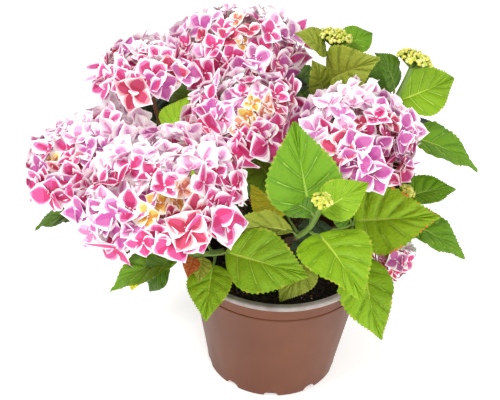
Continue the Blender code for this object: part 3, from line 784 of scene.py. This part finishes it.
# The colours of each tint: blade, the painted shade of its hollows along the veins, the veins,
# and the rim.
# The greens are partly the leaves' own and partly painted light and shade: sunlit is painted light on
# leaves in the shade of the heads, dark is painted shade on leaves inside the plant, and lime, fresh,
# green and deep step down from lit to shaded.
LEAF_TINTS = {
    "sunlit": ((172, 216, 60), (152, 196, 52), (196, 228, 96), (190, 206, 76)),
    "lime": ((130, 170, 22), (118, 159, 20), (180, 206, 72), (166, 176, 50)),
    "turning": ((138, 174, 24), (125, 162, 23), (172, 194, 72), (206, 136, 48)),
    "fresh": ((108, 154, 24), (96, 143, 22), (160, 194, 74), (140, 164, 48)),
    "green": ((86, 128, 28), (68, 106, 24), (134, 164, 68), (108, 138, 42)),
    "deep": ((80, 116, 20), (64, 98, 17), (126, 156, 50), (94, 124, 28)),
    "dark": ((38, 58, 28), (28, 45, 22), (70, 94, 46), (44, 66, 32)),
    "olive": ((146, 158, 52), (126, 141, 43), (174, 184, 84), (162, 168, 62)),
    "yellow": ((188, 182, 44), (168, 166, 38), (204, 196, 84), (198, 158, 48)),
    "rust": ((172, 92, 40), (142, 74, 32), (194, 136, 74), (186, 114, 52)),
}
PUCKERS = 420  # of the net of fine veins, in a metre
PUCKER_DEPTH = 0.0012
LEAF_PAINTED_GLOW = {"sunlit": 0.45, "yellow": 0.25}  # painted glow: leaves lit from behind
DIM_PAINTED_GLOW = 0.03  # and the others


def leaf_finish(name, colour, through):
    """A leaf's colour, puckered between its finest veins, with a painted glow for backlight."""
    finish = Finish(name, colour, Roughness=0.46, Specular_IOR_Level=0.25)
    finish.relief(finish.grain(PUCKERS, 2), PUCKER_DEPTH, 1)
    # A painted glow: emission in the leaf's own colour, for the light behind it.
    finish.give("Emission Color", colour)
    finish.give("Emission Strength", through)
    return finish


leaf_tints = {}
for tint, colours in LEAF_TINTS.items():
    leaf_tints[tint] = [
        leaf_finish(f"{tint} {part}", srgb(*colour), LEAF_PAINTED_GLOW.get(tint, DIM_PAINTED_GLOW))
        for part, colour in zip(("blade", "hollow", "vein", "rim"), colours)
    ]


def leaf_pattern():
    """A leaf of length 1: its points before folding, its faces, and where each face lies."""
    rows = [(vein + at) / VEIN_PAIRS for vein in range(VEIN_PAIRS) for at, _ in STRETCH] + [1]
    across = [-lane for lane in reversed(LANES)] + [0] + list(LANES)
    points = []
    for row, share in enumerate(rows):
        margin = min(share + VEIN_SWEEP * math.sin(math.pi * share), 1)
        half = 0
        if 0 < share < 1:
            half = LEAF_HALF_WIDTH * math.sin(math.pi * margin**0.75) ** 0.85
        half = half * (1 - POINTED * margin**3.5) + MIDRIB
        at, stands = STRETCH[row % len(STRETCH)]
        tooth = stands * TOOTH if TOOTHED[0] < share < TOOTHED[1] else 0
        puff = math.sin(math.pi * at) ** 0.7
        for lane in across:
            far = abs(lane)
            edge = tooth if far == 1 else 0
            x = share + (margin - share) * far**1.2 + 0.6 * edge
            y = math.copysign(far * half + edge, lane) if lane else 0
            up = QUILTING * puff * math.sin(math.pi * far**0.8) if lane else -MIDRIB_DEPTH
            points.append((x, y, up, far))
    faces = []
    places = []
    width = len(across)
    for row in range(len(rows) - 1):
        for lane in range(width - 1):
            low = row * width + lane
            faces.append((low, low + width, low + width + 1, low + 1))
            places.append((row % len(STRETCH), max(abs(across[lane]), abs(across[lane + 1]))))
    return np.array(points), faces, places


leaf_points, leaf_faces, leaf_places = leaf_pattern()


def leaf_part(row, far, chance):
    """Which part of a leaf a face is: 0 blade, 1 painted shade beside a vein, 2 vein, 3 rim."""
    if far == 1:
        return 3 if chance.random() < RIM_SHOWS else 0
    if far <= LANES[0] or (row == 0 and far < VEIN_REACH):
        return 2
    # The rows on each side of a vein take its painted shade.
    return 1 if row in (1, len(STRETCH) - 1) else 0


def add_leaf(heap, base, placing, length, tint, chance):
    """Adds a leaf to a heap, folded along its midrib, arched and rippled at its margin."""
    x, y, up, far = leaf_points.T
    fold = LEAF_FOLD * np.abs(y)
    arch = 4 * x * (1 - x) * LEAF_ARCH
    phase = chance.uniform(0, 6)
    ripple = RIPPLE * far**3 * np.sin(2 * math.pi * RIPPLES * x + phase + np.sign(y))
    nod = NOD * np.maximum(0, x - NOD_FROM) ** 2
    crinkle = CRINKLE * np.array([chance.gauss(0, 1) for _ in x]) * np.minimum(1, 8 * np.abs(y))
    local = np.stack((x, y, fold + arch + up + ripple + crinkle - nod), axis=1) * length
    world = local @ np.array(placing).T + np.array(base)
    kinds = [leaf_tints[tint][leaf_part(row, reach, chance)] for row, reach in leaf_places]
    heap.add(world, leaf_faces, kinds)


def leaves_of(shoot, way):
    """A shoot's leaves: its own listed ones, or the crossed pairs."""
    if shoot.name in OWN_LEAVES:
        return [Leaf(*leaf) for leaf in OWN_LEAVES[shoot.name]]
    chance = random.Random(shoot.name)
    outward = math.degrees(math.atan2(way.axis.y, way.axis.x))
    leaves = []
    for pair in range(shoot.pairs):
        lowest = shoot.bare + LOWEST_PAIR
        share = TOP_PAIR - (TOP_PAIR - lowest) * pair / (shoot.pairs - 1)
        for side in range(2):
            bearing = shoot.bearing + 90 * pair + 180 * side + chance.uniform(*BEARINGS_VARY)
            facing = math.cos(math.radians(bearing - outward)) * math.sin(math.radians(shoot.lean))
            rise = TOP_RISE - DROOP * pair - OUTWARD_DROOP * facing + chance.uniform(*RISES_VARY)
            length = LEAF_LENGTH * (TOP_SIZE + GROWTH * pair) * chance.uniform(*LENGTHS_VARY)
            leaves.append(Leaf(None, share, bearing, rise, length))
    return leaves


def corners_of(node):
    """The corners of one of the frame's solids, to look places up in."""
    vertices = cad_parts[node].data.vertices
    tree = kdtree.KDTree(len(vertices))
    for index, vertex in enumerate(vertices):
        tree.insert(vertex.co, index)
    tree.balance()
    return tree


def foot_of(leaf, way):
    """Where a leaf's blade begins, at the end of its stalk."""
    lifted = direction(leaf.bearing, leaf.rise + PETIOLE_LIFT)
    return way.at(leaf.share) + lifted * (leaf.stalk * leaf.length + SHOOT_RADIUS)


def grown(leaf, way, corners):
    """The leaf as it found room: the first of its turns, lifts and sizes that the solid has."""
    for shrink in SHRINKS:
        for lift in LIFTS:
            for turn in TURNS:
                tried = leaf._replace(
                    bearing=leaf.bearing + turn,
                    rise=leaf.rise + lift,
                    length=leaf.length * shrink,
                )
                tip = foot_of(tried, way) + direction(tried.bearing, tried.rise) * tried.length
                if corners.find(tip)[2] < SAME_CORNER:
                    return tried
    return None


def tint_of(leaf, tip, chance):
    """A leaf's tint by the light that falls on it: bright high up and outside, dark within."""
    out = math.hypot(tip.x, tip.y) / 0.25
    light = 0.55 * out + 1.6 * (tip.z - 0.22) / 0.2 + chance.uniform(-0.25, 0.25)
    if light < 0.35:
        return "dark"
    if light < 0.75:
        return "green"
    return "fresh" if light < 1.3 else "lime"


for shoot in SHOOTS:
    way = ways[shoot.name]
    corners = corners_of("leaves_" + shoot.name)
    chance = random.Random(shoot.name + " blades")
    blades = Heap()
    standing = [
        grown(leaf, way, corners)
        for number, leaf in enumerate(leaves_of(shoot, way))
        if number not in SHED.get(shoot.name, ())
    ]
    standing += [Leaf(*leaf) for leaf in SMALL_LEAVES.get(shoot.name, ())]
    for leaf in standing:
        if leaf is None:
            continue
        node = way.at(leaf.share)
        base = foot_of(leaf, way)
        chord = direction(leaf.bearing, leaf.rise)
        level = frame_along(chord, Vector((0, 0, 1)))
        placing = level @ Matrix.Rotation(math.radians(leaf.roll), 3, "X")
        tip = base + chord * leaf.length
        tint = leaf.tint or tint_of(leaf, tip, chance)
        add_leaf(blades, base, placing, leaf.length, tint, chance)
        inside = base + (chord * RUN_IN + Vector((0, 0, RUN_IN_LIFT))) * leaf.length
        bow = node.lerp(base, 0.5) - Vector((0, 0, PETIOLE_SAG * leaf.length))
        stalk = (node, node.lerp(bow, 0.6), bow.lerp(base, 0.5), base, inside)
        stems.add(*limb(stalk, PETIOLE_RADII, 6), stem_green)
    piece = blades.make("blades_" + shoot.name)
    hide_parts("leaves_" + shoot.name)

stems_piece = stems.make("green_stems")
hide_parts(*("leaves_" + shoot.name for shoot in SHOOTS))


# ------------------------------------------------------------------
# The mopheads: domes of florets, each on its own thin stalk from the rays that the flower stem
# divides into. A floret is four broad pointed petals, contorted so that each laps over the next,
# magenta to orchid with a white margin, round a bead of a bud. Those that face the light, on top,
# are painted paler with broader white margins: painted light.

FULLNESS = 3.6
UNDER_LAYER = 0.82  # how far out every fourth floret sits, under the others
FLORET_RADIUS = 0.0200  # to a petal's tip
LARGEST_FLORET = 0.215  # of the head's width
DOME = 0.60  # half width to the tips of a head's outer petals, of the width of its solid
STANDING_OUT = 0.8  # how far a floret stands out from the dome of their middles, of its radius
LOW_GROWTH = 0.36  # how much larger the florets of the lower edge are
FLORET_TILT = 0.40
FLATTENING = 0.62  # the height of a dome, of its half width
BLOOM_EDGE = 112  # how far down from its top a head goes, in degrees
# Heads that end sooner, or wrap further round.
OPEN_BELOW = {"back_left": 84, "left": 88, "front_left": 83, "middle": 104, "low_right": 140}
GOLDEN_ANGLE = math.pi * (3 - math.sqrt(5))
PETAL_HALF_WIDTH = 0.61  # of its length
PETAL_ROWS = (0.03, 0.16, 0.32, 0.48, 0.64, 0.80, 0.91, 1)
PETAL_CURL = 0.30
CONTORT = 0.14
WAVER = 0.045
# How petals vary: their width and length, how far their point is drawn in, how they bend up,
# curl and dip at the tip, and how far they are turned from their place in the floret.
WIDTHS_VARY = (0.86, 1.10)
POINTS_VARY = (0.50, 0.76)
BENDS_VARY = (-0.1, 0.25)
CURLS_VARY = (-0.4, 1.4)
DIPS_VARY = (0, 0.9)
TURNS_VARY = (-0.16, 0.16)
PETAL_PAINTED_GLOW = 0.06  # painted glow for the light that comes through a petal
BLUSH = 0.06  # the breadth of the passage from a petal's field to its margin, of the half width
BROAD_MARGIN = 0.25
HEART = 0.22  # how far a heart of young florets reaches, of the head's half width
YOUNG_SIZE = 0.78
# The hearts of young florets, each by its bearing and rise from the middle of its head.
HEARTS = {
    "front_left": ((-56, 52), (-84, 28)),
    "left": ((-128, 20),),
    "back_left": ((-91, 30),),
    "back": ((-106, 64), (-80, 30)),
    "middle": ((-61, 32), (-90, 19)),
    "right": ((-60, 60),),
    "behind_left": ((100, 30),),
    "behind_right": ((60, 35), (120, 50)),
}
BEAD_RADIUS = 0.0014
RAY_RADII = (0.0011, 0.0009, 0.0008, 0.0007)

PAINTED_LIGHT_SIDE = direction(105, 48)  # where the painted light on the petals comes from

# The colours of each tint of petal, from the throat through the field and the blush to the
# fringe of the white margin. Snow, pale and lilac are paler copies, painted light for the florets
# that face the light.
PETAL_TINTS = {
    "rose": ((200, 58, 112), (202, 82, 140), (214, 134, 180), (244, 214, 224)),
    "magenta": ((182, 46, 98), (194, 64, 116), (208, 120, 166), (242, 208, 218)),
    "orchid": ((184, 84, 154), (192, 102, 160), (210, 150, 194), (243, 218, 230)),
    "coral": ((184, 56, 84), (198, 72, 108), (222, 148, 160), (242, 206, 204)),
    "pale": ((212, 132, 176), (226, 174, 208), (238, 206, 226), (248, 228, 238)),
    "lilac": ((202, 122, 180), (214, 148, 190), (232, 192, 218), (248, 228, 238)),
    "snow": ((228, 172, 196), (240, 208, 224), (248, 230, 238), (252, 242, 246)),
    "honey": ((208, 142, 62), (228, 190, 98), (240, 222, 168), (248, 232, 208)),
    "peach": ((206, 114, 96), (228, 162, 134), (242, 206, 184), (248, 230, 218)),
}


def petal_finish(name, colour):
    """A petal's colour, dull, with a small painted glow for the light that comes through it."""
    finish = Finish(name, colour, Roughness=0.6, Specular_IOR_Level=0.2)
    finish.give("Emission Color", colour)
    finish.give("Emission Strength", PETAL_PAINTED_GLOW)
    return finish


petal_white = petal_finish("petal margin", srgb(254, 249, 248))
petal_tints = {}
for tint, colours in PETAL_TINTS.items():
    petal_tints[tint] = [
        petal_finish(f"{tint} {part}", srgb(*colour))
        for part, colour in zip(("throat", "field", "blush", "fringe"), colours)
    ]
bead_finish = Finish("floret bead", srgb(238, 206, 220), Roughness=0.5)
ray_finish = Finish("rosy stalk", srgb(226, 160, 156), Roughness=0.6)


def add_petal(heap, centre, placing, angle, size, margin, tint, chance):
    """Adds one petal: it runs out from the centre at an angle round the floret."""
    blur = BLUSH + 0.35 * margin
    edge = np.array((0.0, margin, margin + blur, margin + 2 * blur))
    edge = 1 - np.minimum(edge, (0, 0.72, 0.86, 0.96))
    lanes = np.concatenate((-edge, (0,), edge[::-1]))
    rows = np.array(PETAL_ROWS)
    run, lane = np.meshgrid(rows, lanes, indexing="ij")
    wide = PETAL_HALF_WIDTH * chance.uniform(*WIDTHS_VARY)
    pointed = chance.uniform(*POINTS_VARY)
    sided = chance.choice((-1, 0, 1))
    half = wide * np.sin(math.pi * run**0.82) ** 0.9 * (1 - pointed * run**2.6)
    half += 0.03 * (1 - run) + 0.006
    side = lane * half
    waver = WAVER * np.sin(7 * run + chance.uniform(0, 6)) * lane * np.abs(lane)
    pitch = chance.gauss(0.20, 0.22) * run + chance.uniform(*BENDS_VARY) * run**2
    curl = PETAL_CURL * chance.uniform(*CURLS_VARY) * side**2
    lap = (CONTORT + chance.gauss(0, 0.16)) * side * np.minimum(1, run * 2)
    dip = chance.uniform(*DIPS_VARY) * np.maximum(0, run - 0.6) ** 2
    up = pitch + curl + lap + waver - dip
    length = chance.uniform(*WIDTHS_VARY)
    around = angle + chance.uniform(*TURNS_VARY)
    y = run * length * math.cos(around) - side * math.sin(around)
    z = run * length * math.sin(around) + side * math.cos(around)
    local = np.stack((up.ravel(), y.ravel(), z.ravel()), axis=1) * size
    world = local @ np.array(placing).T + np.array(centre)
    throat, field, blush, fringe = petal_tints[tint]
    bands = (petal_white, fringe, blush, field)
    # The tip is white where the margin is broad, and only pale where it is narrow. The throat's
    # colour fills the petal's foot, and on some it runs up one side of the field.
    tip_row = len(rows) - (2 if margin > BROAD_MARGIN else 1)
    faces = []
    kinds = []
    width = len(lanes)
    for row in range(len(rows) - 1):
        for column in range(width - 1):
            low = row * width + column
            faces.append((low, low + width, low + width + 1, low + 1))
            inward = min(column, width - 2 - column, tip_row - row)
            deep = row < 2 or (row < 5 and (column - 3.5) * sided > 0)
            kinds.append(throat if inward == 3 and deep else bands[inward])
    heap.add(world, faces, kinds)


def florets_of(shoot, way, count):
    """The florets of a mophead, on a spiral from its top to its lower edge, with hearts of young
    ones that the larger round them leave open."""
    chance = random.Random(shoot.name + " florets")
    place = Vector(shoot.place)
    placing = frame_along(way.axis, Vector((0, 1, 0.3)))
    largest = min(FLORET_RADIUS, LARGEST_FLORET * shoot.width)
    half = DOME * shoot.width - STANDING_OUT * largest
    edge = OPEN_BELOW.get(shoot.name, BLOOM_EDGE)
    reach = 1 - math.cos(math.radians(edge))
    hearts = [direction(*faced) * half * 0.85 for faced in HEARTS.get(shoot.name, ())]
    for index in range(count):
        down = math.acos(1 - reach * (index + 0.5) / count)
        turn = index * GOLDEN_ANGLE
        across = math.sin(down)
        out = Vector((math.cos(down), math.cos(turn) * across, math.sin(turn) * across))
        low = math.degrees(down) / edge
        size = largest * (1 - 0.12 * (1 - low) + LOW_GROWTH * low**4) * chance.uniform(0.80, 1.10)
        surface = placing @ Vector((out.x * FLATTENING, out.y, out.z)) * half
        tilt = Vector([chance.uniform(-FLORET_TILT, FLORET_TILT) for _ in range(3)])
        normal = placing @ (out + tilt)
        spin = chance.uniform(0, math.pi / 2)
        young = any((surface - heart).length < HEART * half for heart in hearts)
        if young:
            size *= YOUNG_SIZE
            surface *= 0.97
        depth = UNDER_LAYER if index % 4 == 3 else 1
        yield place + surface * depth * chance.uniform(0.90, 1.02), normal, spin, size, young


def petal_tint(out, chance):
    """A floret's tint and white margin's width, painted paler the more it faces the light."""
    painted_light = 0.45 + 0.5 * out.normalized().dot(PAINTED_LIGHT_SIDE) + chance.uniform(-0.3, 0.3)
    # Florets that face the painted light also get broader white margins.
    margin = 0.16 + 0.20 * max(0, painted_light)
    if painted_light > 0.80:
        return chance.choice(("snow", "pale", "lilac", "snow")), margin
    if painted_light > 0.50:
        return chance.choice(("orchid", "lilac", "rose", "pale")), margin
    return chance.choice(("rose", "rose", "orchid", "magenta", "orchid", "rose", "coral")), margin


for shoot in SHOOTS:
    if not shoot.florets:
        continue
    way = ways[shoot.name]
    chance = random.Random(shoot.name + " petals")
    blossom = Heap()
    place = Vector(shoot.place)
    neck = place - way.axis * 0.24 * shoot.width
    count = round(shoot.florets * FULLNESS)
    for centre, normal, spin, size, young in florets_of(shoot, way, count):
        placing = frame_along(normal, Vector((math.sin(spin), math.cos(spin), 0.2)))
        up = placing.col[0]
        tint, margin = petal_tint(centre - place, chance)
        if young:
            tint = chance.choice(("honey", "honey", "honey", "peach", "coral"))
        for petal in range(4):
            lift = up * 0.0009 * (petal % 2)
            wide = margin * chance.uniform(0.8, 1.25)
            add_petal(blossom, centre + lift, placing, petal * math.pi / 2, size, wide, tint, chance)
        bead = ball_points * BEAD_RADIUS * chance.uniform(0.8, 1.2) + np.array(centre + up * 0.0018)
        blossom.add(bead, ball_faces, bead_finish)
        elbow = neck.lerp(centre, 0.55) - up * 0.004
        ray = (neck.lerp(place, 0.2), elbow, elbow.lerp(centre, 0.6), centre + up * 0.0004)
        blossom.add(*limb(ray, RAY_RADII, 4, closed=False), ray_finish)
    piece = blossom.make("petals_" + shoot.name)
    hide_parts("bloom_" + shoot.name)


# ------------------------------------------------------------------
# The heads of buds: flat, tight clusters of yellow-green beads on short rays, the flower heads
# that have yet to open.

BUD_BEADS = 4.0  # beads for each millimetre of the head's width
BUD_DOME = 0.36  # the height of a head of buds, of its width
BUD_NECK = 0.006
BUD_SIZES = (0.0012, 0.0026)
BUD_RAY_RADII = (0.0008, 0.0006, 0.0005)
bud_tints = (
    Finish("green bud", srgb(184, 198, 72), Roughness=0.5),
    Finish("yellow bud", srgb(222, 214, 84), Roughness=0.5),
    Finish("cream bud", srgb(236, 230, 140), Roughness=0.5),
)
buds = Heap()
for shoot in SHOOTS:
    if shoot.florets:
        continue
    way = ways[shoot.name]
    chance = random.Random(shoot.name + " buds")
    place = Vector(shoot.place)
    placing = frame_along(way.axis, Vector((0, 1, 0.3)))
    neck = place - way.axis * BUD_NECK
    for bead in range(round(1000 * shoot.width * BUD_BEADS)):
        out = math.sqrt(chance.random())
        turn = chance.uniform(0, 2 * math.pi)
        lift = BUD_DOME * shoot.width * math.sqrt(1 - 0.85 * out**2) * chance.uniform(0.7, 1.05)
        flat = Vector((0, math.cos(turn), math.sin(turn))) * out * 0.5 * shoot.width
        centre = place + placing @ (flat + Vector((lift, 0, 0)))
        radius = chance.uniform(*BUD_SIZES)
        buds.add(ball_points * radius + np.array(centre), ball_faces, chance.choice(bud_tints))
        ray = (neck, neck.lerp(centre, 0.5), centre)
        buds.add(*limb(ray, BUD_RAY_RADII, 4, closed=False), stem_green)
buds_piece = buds.make("bud_beads")


# ------------------------------------------------------------------
# The studio: a pale floor, an even white surround, one broad soft light from the upper left, and
# the camera that looks down on the plant from the front.

CAMERA_PLACE = (-0.0355, -0.945, 0.856)
CAMERA_PITCH = 33.4  # how far it looks down, in degrees
CAMERA_ROLL = 2.5
LENS = 70.2
SURROUND_LIGHT = 0.65  # what the surround gives, though it looks plain white
FLOOR_GLOW = 0.46  # what keeps the floor as pale as the surround

bpy.ops.object.select_all(action="DESELECT")
bpy.ops.mesh.primitive_plane_add(size=12, location=(0, 0, -0.0005))
floor = bpy.context.object
floor.name = "floor"
pale_floor = Finish("pale floor", srgb(250, 250, 249), Roughness=0.8)
pale_floor.give("Emission Color", (1, 1, 1, 1))
pale_floor.give("Emission Strength", FLOOR_GLOW)
floor.data.materials.append(pale_floor.material)

world = bpy.data.worlds.new("white surround")
world.use_nodes = True
surround = world.node_tree.nodes["Background"]
surround.inputs["Color"].default_value = (1, 1, 1, 1)
seen = world.node_tree.nodes.new("ShaderNodeLightPath")
strength = world.node_tree.nodes.new("ShaderNodeMapRange")
strength.inputs["To Min"].default_value = SURROUND_LIGHT
strength.inputs["To Max"].default_value = 1
world.node_tree.links.new(seen.outputs["Is Camera Ray"], strength.inputs["Value"])
world.node_tree.links.new(strength.outputs["Result"], surround.inputs["Strength"])
bpy.context.scene.world = world


def soft_light(name, place, size, power):
    """A square soft light that faces the plant's middle."""
    light = bpy.data.lights.new(name, "AREA")
    light.size = size
    light.energy = power
    made = bpy.data.objects.new(name, light)
    made.location = place
    made.rotation_euler = (Vector((0, 0, 0.25)) - Vector(place)).to_track_quat("-Z", "Y").to_euler()
    bpy.context.scene.collection.objects.link(made)


soft_light("key", (-1.3, -0.9, 2.2), 0.8, 38)
soft_light("fill", (0.9, -1.8, 0.9), 1.6, 20)

camera = bpy.data.cameras.new("camera")
camera.lens = LENS
camera.sensor_width = 36
camera_stand = bpy.data.objects.new("camera", camera)
pitch = Matrix.Rotation(math.radians(90 - CAMERA_PITCH), 4, "X")
roll = Matrix.Rotation(math.radians(CAMERA_ROLL), 4, "Z")
camera_stand.matrix_world = Matrix.Translation(CAMERA_PLACE) @ pitch @ roll
bpy.context.scene.collection.objects.link(camera_stand)
bpy.context.scene.camera = camera_stand
bpy.context.scene.view_settings.view_transform = "Standard"
